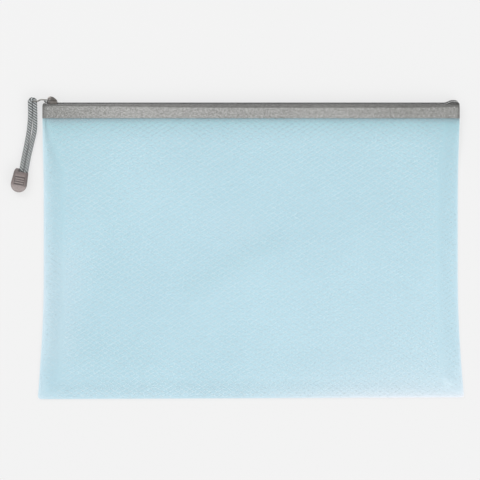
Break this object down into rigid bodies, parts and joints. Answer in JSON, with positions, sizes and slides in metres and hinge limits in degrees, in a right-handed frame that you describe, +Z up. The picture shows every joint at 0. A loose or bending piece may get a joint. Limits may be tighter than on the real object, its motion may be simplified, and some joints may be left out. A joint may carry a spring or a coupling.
{
  "type": "zipper pouch",
  "caption": "Flat A4 mesh-film zipper pouch with welded seams, woven zipper tapes, a locking chain, a slider, a metal pull tab and a cord pull with a moulded grip.",
  "frame": {"origin": "middle of the back panel's flat resting face, halfway between the bottom seam and the zipper", "axes": "+X along the zipper, from the closed slider to the zipper's other end; +Y from the bottom seam to the zipper; +Z up from the table, out of the front panel"},
  "size_m": [0.3661, 0.2444, 0.0094],
  "materials": {
    "film": "translucent pale blue film laminated on a fine white diamond net",
    "tape": "light grey woven polyester tape",
    "chain": "dark grey nylon teeth",
    "slider_metal": "dark warm grey metal",
    "tab_metal": "dark grey stamped metal",
    "cord": "grey braided polyester cord",
    "grip": "warm grey moulded plastic, ribbed"
  },
  "bodies": {
    "pouch": {"back_panel": "film", "front_panel": "film", "back_tape": "tape", "front_tape": "tape", "back_chain": "chain", "front_chain": "chain"},
    "slider": {"slider_body": "slider_metal", "slider_cap": "slider_metal"},
    "tab": {"pull_tab": "tab_metal"},
    "pull": {"pull_cord": "cord", "pull_grip": "grip"}
  },
  "joints": [
    {"name": "slider_slide", "type": "slide", "parent": "pouch", "child": "slider", "axis": [1, 0, 0], "range_m": [0, 0.312], "deforming": ["back_chain", "front_chain", "pull_cord", "pull_grip"]},
    {"name": "tab_swing", "type": "hinge", "parent": "slider", "child": "tab", "pos_m": [-0.1626, 0.1214, 0.0047], "axis": [0, 0, 1], "range_deg": [-175, 0]},
    {"name": "cord_swing", "type": "hinge", "parent": "tab", "child": "pull", "pos_m": [-0.17645, 0.1203, 0.0047], "axis": [0, 0, 1], "range_deg": [-60, 8]}
  ]
}
